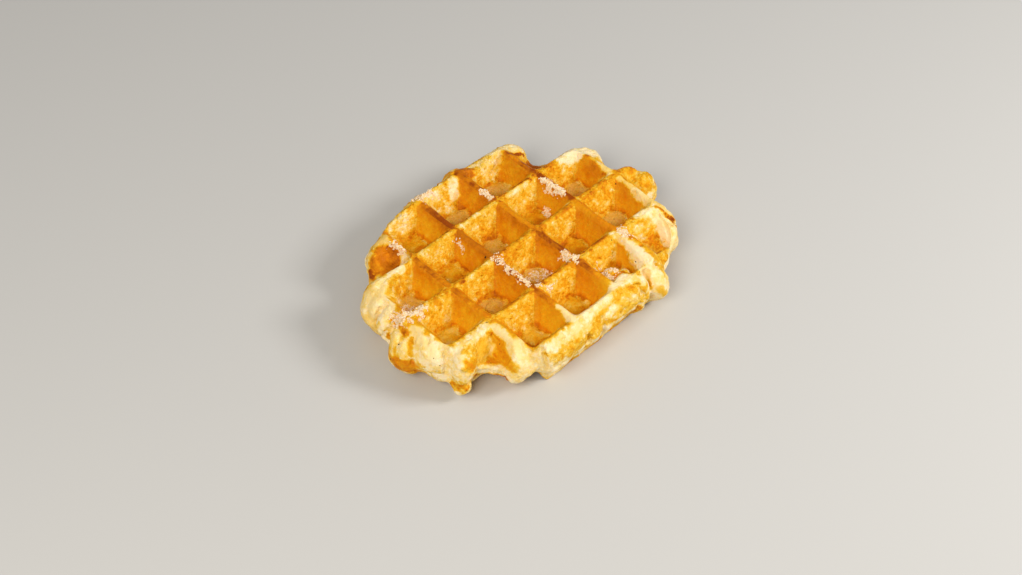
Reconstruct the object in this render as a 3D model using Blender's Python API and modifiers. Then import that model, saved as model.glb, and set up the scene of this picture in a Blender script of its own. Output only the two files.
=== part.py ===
"""A Belgian waffle with deep square pockets and an uneven, lobed edge.

It is built the way an iron makes it. Dough spreads between two plates as a core with a rounded rim. Studs on
the plates press pockets into it, in a square grid of cells, from above and from below. Where the dough ran
past the last studs it puffed up freely into lobes. A place is given in cells of the grid, as a column and a
row, and a level in millimetres above the lower plate.
"""

import math

import bmesh
import bpy
from mathutils import Matrix, Vector

MM = 0.001

# The iron, in millimetres
PITCH = 24.0
THICKNESS = 25.0
UPPER_POCKET_DEPTH = 10.9
LOWER_POCKET_DEPTH = 9.6
POCKET_MOUTH = 21.8
POCKET_FLOOR = 9.4
POCKET_CORNER = 1.8
RIDGE_SHOULDER = 1.0
STUD_OVERLAP = 3.0
PLATE_WIDTH = 280.0
PLATE_THICKNESS = 20.0
COLUMNS = range(-1, 6)
ROWS = range(-1, 5)

# The first and last whole pocket of each row
WHOLE_POCKETS = {0: (1, 3), 1: (0, 4), 2: (0, 4), 3: (0, 4)}

# Pockets by the edge that came out narrower, as a share of a full one
NARROW_POCKETS = {(0, 3): 0.84, (4, 3): 0.88, (0, 1): 0.95, (4, 1): 0.95, (0, 2): 0.96, (3, 3): 0.96}

# The cell coordinates of the middle of the waffle's box, which is the frame's origin
MIDDLE_COLUMN = 2.62
MIDDLE_ROW = 1.98

# The rim's spine, clockwise from the west corner:
# column, row, half width in mm, lowest level in mm, highest level in mm
RIM = [
    (0.14, 1.03, 6.0, 4, 25.5),
    (0.46, 0.70, 3.5, 8, 17),
    (0.84, 0.34, 5.6, 5, 24),
    (1.40, 0.14, 6.0, 2, 25),
    (2.00, 0.00, 6.5, 2, 25),
    (2.50, -0.02, 5.5, 2, 25),
    (3.00, -0.06, 6.5, 2, 25),
    (3.55, 0.04, 6.0, 2, 25),
    (4.00, 0.10, 7.0, 2, 25),
    (4.36, 0.58, 3.0, 8, 17),
    (4.90, 1.06, 7.0, 2, 25),
    (5.12, 1.62, 5.0, 2, 25),
    (5.30, 2.12, 7.0, 2, 24.5),
    (5.06, 2.60, 4.5, 5, 20),
    (4.98, 3.02, 6.5, 3, 24.5),
    (4.66, 3.45, 6.0, 4, 23),
    (4.22, 3.72, 5.0, 5, 21),
    (3.92, 3.98, 5.5, 4, 20),
    (3.68, 3.94, 3.8, 5, 18),
    (3.36, 3.96, 5.8, 6, 25),
    (2.30, 4.00, 5.8, 6, 25),
    (1.34, 4.00, 5.8, 6, 25),
    (1.14, 3.72, 2.5, 8, 18),
    (0.90, 3.66, 5.5, 6, 24),
    (0.52, 3.32, 3.0, 9, 18),
    (0.16, 3.04, 5.0, 4, 24),
    (0.16, 2.74, 6.0, 6, 24),
    (-0.12, 2.30, 7.0, 5, 24),
    (-0.14, 2.02, 6.0, 3, 23),
    (0.06, 1.68, 4.0, 5, 24),
    (0.02, 1.34, 6.0, 5, 24),
]

# Dough that puffed up past the last studs:
# column, row, level of its middle in mm, half sizes in mm along the rows, across them and up
LOBES = {
    "north": (4.22, 0.12, 13.0, 7.5, 8.0, 10.0),
    "second north": (5.10, 1.14, 13.0, 9.0, 9.0, 9.5),
    "north-east": (5.42, 2.24, 12.5, 8.5, 7.5, 9.0),
    "east": (5.04, 3.10, 12.0, 7.0, 8.0, 9.5),
    "east, lower": (4.82, 3.38, 13.0, 6.0, 7.0, 9.5),
    "south-east": (3.96, 4.02, 11.5, 5.8, 6.2, 8.4),
    "end of the first column": (0.88, 3.72, 13.0, 6.5, 6.5, 8.5),
    "bridge of the notch": (1.14, 3.86, 13.0, 3.5, 4.0, 5.5),
    "south tip": (0.06, 3.22, 7.0, 4.0, 4.6, 5.0),
    "south-west, lower": (0.08, 2.84, 13.0, 6.5, 7.5, 9.5),
    "south-west band": (-0.02, 2.50, 14.5, 7.5, 13.0, 9.5),
    "south-west": (-0.20, 2.20, 11.8, 8.1, 9.0, 9.2),
    "west": (0.03, 1.22, 12.5, 6.2, 8.5, 11.5),
    "puff below the west corner": (-0.14, 1.64, 16.0, 5.4, 4.6, 8.0),
    "ear": (0.87, 0.38, 13.0, 9.0, 8.5, 9.5),
}

# Scoops out of the dough, given like the lobes: the ear's spoon, a low stretch of the far rim, and a crease
SCOOPS = {
    "spoon of the ear": (0.80, 0.66, 24.0, 8.0, 8.5, 8.5),
    "saddle of the north rim": (3.48, 0.00, 29.0, 11.0, 8.0, 7.0),
    "crease past the curl": (3.72, 4.06, 26.0, 2.6, 5.0, 9.0),
}

# Rolls of dough that thicken the finished ridges, given as spines like the rim's
ROLLS = {
    "west roll": [(0.62, 1.03, 2.2, 10, 25.2), (0.28, 1.12, 5.2, 6, 25.2), (0.02, 1.32, 7.0, 4, 24.6)],
    "south roll": [(0.80, 3.03, 2.0, 12, 25.2), (0.34, 3.10, 4.2, 8, 25.2), (0.15, 3.20, 5.2, 8, 24.0)],
    "broad ridge end": [(4.00, 3.12, 1.6, 12, 25.4), (3.93, 3.55, 4.2, 6, 25.6), (3.87, 3.88, 4.6, 6, 25.0)],
    "last ridge's curl": [(2.95, 3.99, 4.5, 6, 25.4), (3.28, 3.90, 6.2, 4, 26.0), (3.50, 4.00, 5.4, 3, 24.0)],
}

# Lumps that stand in the finished pockets, given like the lobes
LUMPS = {
    "dough lump in the last row": (3.46, 3.66, 16.0, 4.6, 3.6, 4.0),
}

# Surface fineness
LOBE_SEGMENTS = 16
RIM_SEGMENTS = 12
VOXEL = 1.3
SMOOTHING_PASSES = 6
DOUGH_TRIANGLES = 5600
WELD_DISTANCE = 0.01
SHARP_ANGLE = math.radians(35)

CRUST_COLOUR = (0.72, 0.40, 0.11, 1.0)
CRUST_ROUGHNESS = 0.72


def remove_scene_objects():
    """Leave an empty scene."""
    for found in list(bpy.data.objects):
        bpy.data.objects.remove(found, do_unlink=True)


def new_collection(name):
    """Add a collection to the scene."""
    made = bpy.data.collections.new(name)
    bpy.context.scene.collection.children.link(made)
    return made


def cell_place(column, row, level):
    """Return a place in metres from cells and a level in millimetres."""
    across = (column - MIDDLE_COLUMN) * PITCH
    back = (MIDDLE_ROW - row) * PITCH
    return Vector((across, back, level)) * MM


def object_of(mesh_source, name, collection):
    """Turn a bmesh into an object of a collection."""
    bmesh.ops.recalc_face_normals(mesh_source, faces=mesh_source.faces)
    mesh = bpy.data.meshes.new(name)
    mesh_source.to_mesh(mesh)
    mesh_source.free()
    made = bpy.data.objects.new(name, mesh)
    collection.objects.link(made)
    return made


def add_ball(bm, column, row, middle, half_sizes, segments):
    """Add an ellipsoid to a bmesh; half_sizes are in millimetres along X, Y and Z."""
    stretch = Matrix.Diagonal((*half_sizes, 1.0)) @ Matrix.Scale(MM, 4)
    stretch[3][3] = 1.0
    bmesh.ops.create_uvsphere(
        bm,
        u_segments=segments,
        v_segments=segments // 2,
        radius=1.0,
        matrix=Matrix.Translation(cell_place(column, row, middle)) @ stretch,
    )


def ball(name, shape, collection):
    """Make one free lobe, scoop or lump."""
    column, row, middle, *half_sizes = shape
    bm = bmesh.new()
    add_ball(bm, column, row, middle, half_sizes, LOBE_SEGMENTS)
    return object_of(bm, name, collection)


def spine_link(first, second, collection):
    """Make the hull round two knots of a spine."""
    bm = bmesh.new()
    for column, row, half_width, lowest, highest in (first, second):
        half_sizes = (half_width, half_width, (highest - lowest) / 2)
        add_ball(bm, column, row, (highest + lowest) / 2, half_sizes, RIM_SEGMENTS)
    bmesh.ops.delete(bm, geom=bm.edges[:], context="EDGES_FACES")
    bmesh.ops.convex_hull(bm, input=bm.verts)
    covered = [vert for vert in bm.verts if not vert.link_faces]
    bmesh.ops.delete(bm, geom=covered, context="VERTS")
    return object_of(bm, "spine link", collection)


def core(collection):
    """Make the core: the area inside the rim's spine, a little thicker than the waffle."""
    curve = bpy.data.curves.new("core outline", "CURVE")
    curve.dimensions = "2D"
    curve.fill_mode = "BOTH"
    curve.extrude = (THICKNESS / 2 + 1) * MM
    spline = curve.splines.new("POLY")
    spline.points.add(len(RIM) - 1)
    for point, (column, row, *_) in zip(spline.points, RIM):
        point.co = (*cell_place(column, row, 0).xy, 0, 1)
    spline.use_cyclic_u = True
    outline = bpy.data.objects.new("core outline", curve)
    outline.location.z = THICKNESS / 2 * MM
    collection.objects.link(outline)
    bpy.context.view_layer.update()
    graph = bpy.context.evaluated_depsgraph_get()
    mesh = bpy.data.meshes.new_from_object(outline.evaluated_get(graph))
    made = bpy.data.objects.new("core", mesh)
    made.matrix_world = outline.matrix_world
    collection.objects.link(made)
    bpy.data.objects.remove(outline)
    bm = bmesh.new()
    bm.from_mesh(mesh)
    bmesh.ops.remove_doubles(bm, verts=bm.verts, dist=WELD_DISTANCE * MM)
    bmesh.ops.recalc_face_normals(bm, faces=bm.faces)
    bm.to_mesh(mesh)
    bm.free()
    return made


def add_square_cone(bm, low_half, high_half, low, high, round_tip):
    """Add a four-sided cone with rounded corners, square to the grid; sizes in millimetres."""
    made = bmesh.ops.create_cone(
        bm,
        cap_ends=True,
        segments=4,
        radius1=low_half * math.sqrt(2) * MM,
        radius2=high_half * math.sqrt(2) * MM,
        depth=(high - low) * MM,
        matrix=Matrix.Translation((0, 0, (high + low) / 2 * MM)) @ Matrix.Rotation(math.pi / 4, 4, "Z"),
    )
    found = {edge for vert in made["verts"] for edge in vert.link_edges}
    middle = (high + low) / 2 * MM
    above = {edge: sum(end.co.z > middle for end in edge.verts) for edge in found}
    rounded = [edge for edge in found if above[edge] == 1 or (round_tip and above[edge] == 0)]
    bmesh.ops.bevel(bm, geom=rounded, offset=POCKET_CORNER * MM, segments=2, profile=0.5, affect="EDGES")


def stud_meshes(name, depth):
    """Make a stud of the upper plate, from the pocket's floor to past the plate, and its flared shoulder."""
    floor_half = POCKET_FLOOR / 2
    mouth_half = POCKET_MOUTH / 2
    slope = (mouth_half - floor_half) / depth
    past_half = mouth_half + slope * STUD_OVERLAP
    flare_half = mouth_half - slope * RIDGE_SHOULDER
    cones = (
        (name, floor_half, past_half, THICKNESS - depth, THICKNESS + STUD_OVERLAP, True),
        (
            name + " shoulder",
            flare_half,
            flare_half + 2 * RIDGE_SHOULDER,
            THICKNESS - RIDGE_SHOULDER,
            THICKNESS + RIDGE_SHOULDER,
            False,
        ),
    )
    meshes = []
    for cone_name, *shape in cones:
        bm = bmesh.new()
        add_square_cone(bm, *shape)
        bmesh.ops.recalc_face_normals(bm, faces=bm.faces)
        mesh = bpy.data.meshes.new(cone_name)
        bm.to_mesh(mesh)
        bm.free()
        meshes.append(mesh)
    return meshes


def is_whole(column, row):
    """Tell whether the dough fills all four sides of this cell's pocket."""
    if row not in WHOLE_POCKETS:
        return False
    first, last = WHOLE_POCKETS[row]
    return first <= column <= last


def add_studs(collection, whole_only):
    """Put the studs of both plates into a collection: the whole pockets' alone, or all the others'."""
    upper = stud_meshes("upper stud", UPPER_POCKET_DEPTH)
    lower = stud_meshes("lower stud", LOWER_POCKET_DEPTH)
    upright = Matrix.Identity(4)
    turned = Matrix.Translation((0, 0, THICKNESS * MM)) @ Matrix.Rotation(math.pi, 4, "X")
    cells = [(column, row) for row in ROWS for column in COLUMNS]
    for column, row in cells:
        if is_whole(column, row) != whole_only:
            continue
        share = NARROW_POCKETS.get((column, row), 1.0)
        narrowing = Matrix.Diagonal((share, share, 1.0, 1.0))
        place = Matrix.Translation(cell_place(column + 0.5, row + 0.5, 0)) @ narrowing
        for meshes, turn in ((upper, upright), (lower, turned)):
            for mesh in meshes:
                stud = bpy.data.objects.new(mesh.name, mesh)
                stud.matrix_world = place @ turn
                collection.objects.link(stud)


def add_plates(collection):
    """Make a slab above the upper plate's face and one below the lower plate's."""
    size = Matrix.Diagonal((PLATE_WIDTH * MM, PLATE_WIDTH * MM, PLATE_THICKNESS * MM, 1.0))
    for level in (-PLATE_THICKNESS / 2, THICKNESS + PLATE_THICKNESS / 2):
        bm = bmesh.new()
        bmesh.ops.create_cube(bm, size=1.0, matrix=Matrix.Translation((0, 0, level * MM)) @ size)
        object_of(bm, "plate", collection)


def apply_modifiers(target):
    """Replace an object's mesh with its evaluated one, without modifiers."""
    bpy.context.view_layer.update()
    graph = bpy.context.evaluated_depsgraph_get()
    mesh = bpy.data.meshes.new_from_object(target.evaluated_get(graph))
    target.modifiers.clear()
    target.data = mesh


def join_collection(target, collection, operation):
    """Join or cut a whole collection, apply the Boolean and remove the collection's objects."""
    boolean = target.modifiers.new(operation.lower(), "BOOLEAN")
    boolean.operation = operation
    boolean.operand_type = "COLLECTION"
    boolean.collection = collection
    boolean.solver = "MANIFOLD"
    apply_modifiers(target)
    for used in list(collection.objects):
        bpy.data.objects.remove(used)
    bpy.data.collections.remove(collection)


def soften(target):
    """Blend the joints of the dough and bring it down to a plain number of triangles."""
    remesh = target.modifiers.new("one skin", "REMESH")
    remesh.mode = "VOXEL"
    remesh.voxel_size = VOXEL * MM
    smooth = target.modifiers.new("soft joints", "SMOOTH")
    smooth.factor = 0.5
    smooth.iterations = SMOOTHING_PASSES
    apply_modifiers(target)
    decimate = target.modifiers.new("plain faces", "DECIMATE")
    decimate.ratio = DOUGH_TRIANGLES / (2 * len(target.data.polygons))
    apply_modifiers(target)


def keep_largest_body(target):
    """Drop loose scraps and fill sealed hollows by keeping the body with the most faces."""
    bm = bmesh.new()
    bm.from_mesh(target.data)
    bmesh.ops.triangulate(bm, faces=bm.faces)
    left = set(bm.verts)
    largest = set()
    while left:
        body = set()
        edge_of_body = [left.pop()]
        while edge_of_body:
            vert = edge_of_body.pop()
            body.add(vert)
            reached = [edge.other_vert(vert) for edge in vert.link_edges]
            edge_of_body.extend(found for found in reached if found in left)
            left.difference_update(reached)
        if len(body) > len(largest):
            largest = body
    scraps = [vert for vert in bm.verts if vert not in largest]
    bmesh.ops.delete(bm, geom=scraps, context="VERTS")
    bm.to_mesh(target.data)
    bm.free()


def crust_material():
    """Make the baked crust's plain material."""
    material = bpy.data.materials.new("crust")
    material.use_nodes = True
    shader = material.node_tree.nodes["Principled BSDF"]
    shader.inputs["Base Color"].default_value = CRUST_COLOUR
    shader.inputs["Roughness"].default_value = CRUST_ROUGHNESS
    shader.inputs["Metallic"].default_value = 0.0
    return material


def build_waffle():
    """Build the waffle from dough, studs, plates and lumps."""
    parts = new_collection("belgian waffle")
    spread = new_collection("rim of the dough")
    for first, second in zip(RIM, RIM[1:] + RIM[:1]):
        spine_link(first, second, spread)
    waffle = core(parts)
    waffle.name = "waffle"
    join_collection(waffle, spread, "UNION")
    outer_studs = new_collection("outer studs")
    add_studs(outer_studs, whole_only=False)
    join_collection(waffle, outer_studs, "DIFFERENCE")
    puffs = new_collection("lobes")
    for name, shape in LOBES.items():
        ball(name, shape, puffs)
    join_collection(waffle, puffs, "UNION")
    scoops = new_collection("scoops")
    for name, shape in SCOOPS.items():
        ball(name, shape, scoops)
    join_collection(waffle, scoops, "DIFFERENCE")
    soften(waffle)
    whole_studs = new_collection("whole studs")
    add_studs(whole_studs, whole_only=True)
    join_collection(waffle, whole_studs, "DIFFERENCE")
    lumps = new_collection("lumps")
    for spine in ROLLS.values():
        for first, second in zip(spine, spine[1:]):
            spine_link(first, second, lumps)
    for name, shape in LUMPS.items():
        ball(name, shape, lumps)
    join_collection(waffle, lumps, "UNION")
    plates = new_collection("plates")
    add_plates(plates)
    join_collection(waffle, plates, "DIFFERENCE")
    keep_largest_body(waffle)
    waffle.data.name = "waffle"
    waffle.data.materials.clear()
    waffle.data.materials.append(crust_material())
    waffle.data.shade_smooth()
    waffle.data.set_sharp_from_angle(angle=SHARP_ANGLE)
    return waffle


remove_scene_objects()
build_waffle()
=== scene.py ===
"""The look of a Belgian waffle: its baked skin, torn crumb and specks, on a pale floor in soft light.

A place on the waffle is given in cells of the iron's grid, as a column and a row, and a level in
millimetres above the floor. Columns count to the east, which is +X, and rows to the south, which is -Y.
Every random draw is seeded.
"""

import math
from types import SimpleNamespace

import bmesh
import bpy
import numpy as np
from mathutils import Euler, Matrix, Vector, noise
from mathutils.bvhtree import BVHTree


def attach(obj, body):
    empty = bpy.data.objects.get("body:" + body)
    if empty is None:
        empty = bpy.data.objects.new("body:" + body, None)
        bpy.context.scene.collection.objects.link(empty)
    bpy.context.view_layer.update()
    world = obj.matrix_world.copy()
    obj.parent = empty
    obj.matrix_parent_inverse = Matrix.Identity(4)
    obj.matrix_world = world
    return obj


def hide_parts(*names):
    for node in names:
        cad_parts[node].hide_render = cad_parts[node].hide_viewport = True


MM = 0.001

# The iron, in millimetres, as the solid has it
PITCH = 24.0
THICKNESS = 25.0
UPPER_POCKET_DEPTH = 10.9
LOWER_POCKET_DEPTH = 9.6
UPPER_FLOOR = THICKNESS - UPPER_POCKET_DEPTH
LOWER_FLOOR = LOWER_POCKET_DEPTH
POCKET_MOUTH = 21.8
POCKET_FLOOR = 9.4
MIDDLE_COLUMN = 2.62
MIDDLE_ROW = 1.98

# The skin's fineness: millimetres, rounds of smoothing and triangles
SKIN_VOXEL = 0.5
SKIN_SMOOTHING = 2
SKIN_TRIANGLES = 190000

# The photographed view: degrees, metres and millimetres
CAMERA_AZIMUTH = -42.996
CAMERA_ELEVATION = 47.009
CAMERA_ROLL = 0.946
CAMERA_PLACE = (-0.3767, -0.3986, 0.5838)
CAMERA_LENS = 65.89
SENSOR_WIDTH = 36.0

# How brown the crust baked, from 0 to 1
CREAM = 0.10
PALE = 0.20
STRAW = 0.30
GOLDEN = 0.46
TOASTED = 0.62
BROWN = 0.86
SCORCHED = 1.0

# A patch is a soft stroke along a line: where it starts and ends as (column, row, level), its radius in
# millimetres and how brown it is; later patches lie over earlier ones

# The ear at the west end, with its cup
EAR_PATCHES = [
    ((0.52, 0.40, 15.0), (0.62, 0.24, 19.0), 3.0, PALE),
    ((0.62, 0.24, 19.0), (0.96, 0.28, 23.4), 3.0, PALE),
    ((0.50, 0.50, 14.5), (0.46, 0.66, 12.0), 2.6, PALE),
    ((0.90, 0.46, 19.0), (0.78, 0.56, 16.5), 5.0, 0.90),
    ((0.80, 0.40, 19.2), (0.62, 0.50, 16.5), 4.0, 0.80),
    ((0.66, 0.38, 18.6), (0.58, 0.46, 16.4), 2.4, 0.72),
    ((0.96, 0.60, 17.0), (0.74, 0.66, 14.5), 2.6, BROWN),
    ((0.50, 0.42, 14.4), (0.43, 0.61, 13.6), 1.4, SCORCHED),
]

# The rim from the ear to the north lobe
NORTH_WEST_PATCHES = [
    ((1.35, 0.03, 23.1), (1.70, -0.08, 22.0), 3.0, STRAW),
    ((1.75, 0.00, 24.0), (2.02, 0.04, 25.0), 2.0, GOLDEN),
    ((1.27, 0.15, 20.6), (1.59, 0.08, 24.3), 3.0, STRAW),
    ((2.20, -0.04, 24.0), (2.34, 0.13, 21.6), 4.5, PALE),
    ((2.36, 0.20, 18.6), (2.55, 0.30, 14.9), 3.0, 0.40),
    ((2.40, -0.04, 24.4), (2.54, 0.00, 24.6), 2.2, 0.40),
    ((2.83, 0.02, 25.0), (2.71, 0.19, 18.9), 2.6, CREAM),
    ((2.70, -0.14, 21.4), (2.90, -0.04, 25.0), 2.6, GOLDEN),
    ((3.04, 0.00, 25.0), (3.26, 0.08, 22.6), 3.0, BROWN),
    ((3.38, 0.11, 22.3), (3.52, 0.14, 21.2), 2.4, GOLDEN),
]

# The two north lobes and the low saddle between them
NORTH_PATCHES = [
    ((3.58, 0.18, 19.2), (3.81, 0.08, 23.5), 4.5, 0.24),
    ((3.90, -0.02, 23.6), (4.35, 0.17, 21.3), 3.4, CREAM),
    ((4.42, 0.30, 18.8), (4.40, 0.42, 15.0), 2.0, PALE),
    ((4.01, 0.23, 25.0), (4.33, 0.31, 19.9), 1.0, SCORCHED),
    ((4.38, 0.44, 14.5), (4.42, 0.90, 18.0), 3.0, BROWN),
    # Painted light: paler than cream, lightening this west-facing face that gets little light
    ((4.62, 0.94, 24.0), (5.31, 1.20, 20.1), 4.8, 0.04),
    ((5.02, 1.43, 25.0), (5.20, 1.38, 21.0), 1.8, GOLDEN),
    ((5.06, 1.62, 24.6), (4.98, 1.93, 25.0), 2.4, CREAM),
]

# The north-east lobe and the east lobe
EAST_PATCHES = [
    ((5.06, 1.96, 25.0), (5.50, 2.06, 22.0), 2.0, TOASTED),
    ((5.25, 2.19, 20.6), (5.39, 2.47, 17.0), 4.8, 0.54),
    ((5.36, 2.54, 14.5), (5.58, 2.50, 13.0), 2.2, PALE),
    ((4.98, 2.05, 25.0), (4.98, 2.45, 25.0), 1.4, PALE),
    ((4.96, 2.55, 24.4), (4.92, 2.95, 24.4), 2.6, CREAM),
    ((4.56, 3.00, 25.0), (4.92, 3.18, 23.9), 3.0, CREAM),
    # Painted light: paler than cream, lightening this west-facing face that gets little light
    ((4.88, 3.30, 22.4), (4.76, 3.67, 14.9), 4.8, 0.06),
    ((4.98, 2.98, 23.6), (5.12, 3.28, 19.0), 3.4, PALE),
    ((4.80, 3.70, 12.0), (4.60, 3.80, 12.0), 3.4, CREAM),
    ((4.40, 3.60, 22.0), (4.34, 3.80, 17.0), 4.0, GOLDEN),
    ((4.30, 3.70, 19.0), (4.58, 3.56, 14.4), 2.0, 0.70),
    ((4.54, 3.37, 14.3), (4.53, 3.58, 14.1), 3.0, 0.66),
    ((4.12, 3.90, 20.2), (4.36, 3.83, 17.4), 2.6, TOASTED),
    ((5.04, 3.26, 20.9), (5.13, 3.34, 16.6), 1.8, SCORCHED),
    ((4.92, 3.09, 24.6), (5.03, 3.19, 22.4), 0.8, BROWN),
    ((3.92, 3.00, 25.0), (3.90, 3.24, 23.8), 1.6, PALE),
    ((3.94, 3.22, 24.4), (3.93, 3.40, 24.4), 1.8, CREAM),
    ((3.36, 3.58, 17.6), (3.46, 3.66, 18.0), 3.4, 0.70),
    ((3.34, 3.66, 15.6), (3.46, 3.74, 16.0), 2.4, BROWN),
    # Painted light: paler than cream, lightening this west-facing face that gets little light
    ((3.92, 3.42, 24.6), (3.87, 3.90, 24.4), 2.9, 0.02),
    ((3.84, 3.62, 22.4), (3.80, 3.92, 21.6), 2.4, 0.06),
    ((3.80, 4.01, 21.1), (3.84, 4.20, 8.0), 5.4, CREAM),
    ((3.74, 3.98, 20.6), (3.70, 4.12, 15.0), 1.1, GOLDEN),
    ((3.85, 4.22, 14.1), (3.93, 4.25, 9.9), 1.8, GOLDEN),
]

# The broad roll along the last row, on the south-east side
SOUTH_EAST_PATCHES = [
    ((1.30, 4.10, 22.5), (2.05, 4.12, 23.5), 3.0, CREAM),
    ((2.13, 4.08, 24.0), (2.71, 4.01, 24.8), 3.0, CREAM),
    ((2.71, 4.01, 25.0), (3.22, 3.89, 25.0), 2.8, CREAM),
    ((3.24, 3.88, 25.0), (3.53, 4.10, 22.0), 2.6, CREAM),
    ((2.54, 4.18, 19.2), (3.20, 4.18, 19.0), 2.6, STRAW),
    ((2.93, 4.05, 24.0), (3.36, 4.11, 21.8), 2.2, GOLDEN),
    ((2.67, 4.20, 17.4), (3.27, 4.20, 15.4), 2.6, GOLDEN),
    ((2.50, 4.19, 19.6), (2.80, 4.18, 20.3), 1.6, PALE),
    ((2.75, 4.20, 6.0), (3.36, 4.16, 9.0), 3.0, TOASTED),
    ((1.70, 4.23, 16.5), (2.35, 4.23, 16.3), 2.8, GOLDEN),
    ((1.79, 4.17, 20.8), (2.21, 4.17, 20.4), 1.3, PALE),
    ((1.60, 4.12, 4.5), (2.60, 4.12, 4.5), 3.0, TOASTED),
    ((1.18, 4.15, 14.1), (1.50, 4.06, 4.0), 4.2, CREAM),
    ((1.26, 4.16, 20.0), (1.31, 4.22, 15.4), 1.4, STRAW),
    ((1.06, 3.96, 17.2), (1.16, 4.09, 18.5), 2.2, CREAM),
]

# The arch of the last half pocket, with the cream ridge on each side of it
ARCH_PATCHES = [
    ((0.62, 3.13, 23.2), (0.34, 3.29, 20.0), 3.6, 0.42),
    ((0.60, 3.24, 19.0), (0.46, 3.30, 16.4), 3.2, 0.42),
    ((0.62, 3.40, 14.4), (0.64, 3.58, 14.4), 2.4, 0.64),
    ((0.84, 3.30, 22.8), (0.73, 3.84, 16.6), 3.4, 0.64),
    ((0.92, 3.15, 25.0), (0.89, 3.68, 24.0), 2.2, CREAM),
    ((0.90, 3.71, 23.3), (0.93, 3.95, 14.2), 4.4, CREAM),
    ((0.76, 3.93, 10.6), (0.88, 3.98, 12.2), 3.2, CREAM),
    ((0.10, 3.08, 23.2), (0.79, 3.06, 25.0), 2.4, CREAM),
    ((0.12, 3.20, 21.8), (0.02, 3.30, 17.0), 2.4, CREAM),
    ((0.02, 3.36, 16.6), (0.37, 3.40, 13.6), 1.8, CREAM),
    ((0.37, 3.40, 13.8), (0.60, 3.54, 13.8), 1.7, CREAM),
    ((0.60, 3.54, 13.8), (0.66, 3.85, 13.6), 1.8, CREAM),
    ((0.30, 3.38, 8.0), (0.66, 3.66, 8.0), 2.4, BROWN),
]

# The cream lumps of the south-west side, from the west lobe to the south tip
SOUTH_WEST_PATCHES = [
    ((0.66, 1.06, 24.8), (0.24, 1.14, 25.0), 3.0, CREAM),
    # Painted shade: a little darker than cream, for the dimmer light on the west lobe
    ((0.14, 1.16, 24.4), (-0.20, 1.24, 17.0), 6.6, 0.14),
    ((-0.04, 1.38, 23.5), (-0.24, 1.42, 15.0), 3.4, CREAM),
    ((0.44, 1.15, 24.8), (0.18, 1.34, 24.4), 1.9, GOLDEN),
    ((0.30, 1.35, 20.4), (0.12, 1.50, 24.0), 1.7, GOLDEN),
    ((0.54, 1.14, 22.4), (0.36, 1.33, 19.4), 2.6, GOLDEN),
    ((-0.22, 1.23, 13.8), (-0.22, 1.36, 8.0), 4.5, PALE),
    ((-0.08, 1.54, 22.8), (-0.30, 1.76, 15.0), 4.6, 0.04),
    ((-0.10, 2.30, 24.2), (-0.20, 2.53, 21.4), 4.2, CREAM),
    ((-0.16, 2.53, 21.8), (-0.01, 2.97, 20.9), 4.8, CREAM),
    ((-0.23, 2.76, 17.6), (-0.04, 3.18, 18.0), 4.8, CREAM),
    ((-0.24, 2.10, 21.6), (-0.36, 2.28, 18.0), 3.2, 0.12),
    ((-0.38, 1.98, 17.5), (-0.46, 2.12, 14.5), 2.6, STRAW),
    ((-0.16, 2.02, 23.4), (-0.18, 2.16, 22.0), 1.7, TOASTED),
    ((-0.20, 2.31, 21.6), (-0.33, 2.44, 17.8), 1.3, TOASTED),
    ((-0.50, 2.04, 13.0), (-0.50, 2.28, 12.4), 3.6, 0.60),
    ((-0.50, 2.28, 12.2), (-0.42, 2.50, 12.0), 3.8, 0.72),
    ((-0.32, 1.83, 18.6), (-0.33, 1.84, 14.5), 1.5, 0.76),
    ((-0.05, 3.24, 10.0), (0.02, 3.36, 9.0), 3.2, TOASTED),
    ((-0.04, 3.22, 12.4), (0.02, 3.32, 12.0), 1.8, STRAW),
]

# Ridges of the middle that baked darker or stayed paler
RIDGE_PATCHES = [
    ((2.03, 1.08, 25.0), (2.00, 1.92, 25.0), 2.4, BROWN),
    ((3.00, 1.12, 25.0), (3.02, 1.88, 25.0), 1.8, 0.70),
    ((3.05, 2.02, 25.0), (3.98, 2.00, 25.0), 1.5, 0.68),
    ((3.98, 2.10, 25.0), (3.98, 2.92, 25.0), 2.2, 0.72),
    ((4.10, 2.00, 25.0), (5.00, 2.02, 25.0), 1.6, 0.64),
    ((3.72, 1.05, 24.6), (3.24, 1.05, 24.5), 1.5, PALE),
    ((1.15, 1.03, 25.0), (1.95, 1.03, 25.0), 1.3, 0.36),
    ((2.10, 1.03, 25.0), (2.95, 1.03, 25.0), 1.3, STRAW),
    ((1.35, 2.03, 25.0), (1.90, 2.02, 25.0), 1.2, 0.34),
    ((2.01, 3.58, 25.0), (2.00, 3.80, 25.0), 1.5, CREAM),
    ((2.00, 3.84, 24.8), (1.96, 4.06, 24.2), 2.9, CREAM),
]

PATCHES = (
    EAR_PATCHES
    + NORTH_WEST_PATCHES
    + NORTH_PATCHES
    + EAST_PATCHES
    + SOUTH_EAST_PATCHES
    + ARCH_PATCHES
    + SOUTH_WEST_PATCHES
    + RIDGE_PATCHES
)

# Pockets whose floor browned as its walls did: its middle's column and row, and how much browner it is
BROWNED_FLOORS = [
    (0.5, 2.5, -0.04),
    (1.5, 3.5, -0.06),
    (2.5, 3.5, 0.04),
    (1.5, 1.5, 0.04),
    (1.5, 0.5, 0.06),
    (3.5, 2.5, 0.04),
    (3.5, 1.5, 0.14),
]

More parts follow.
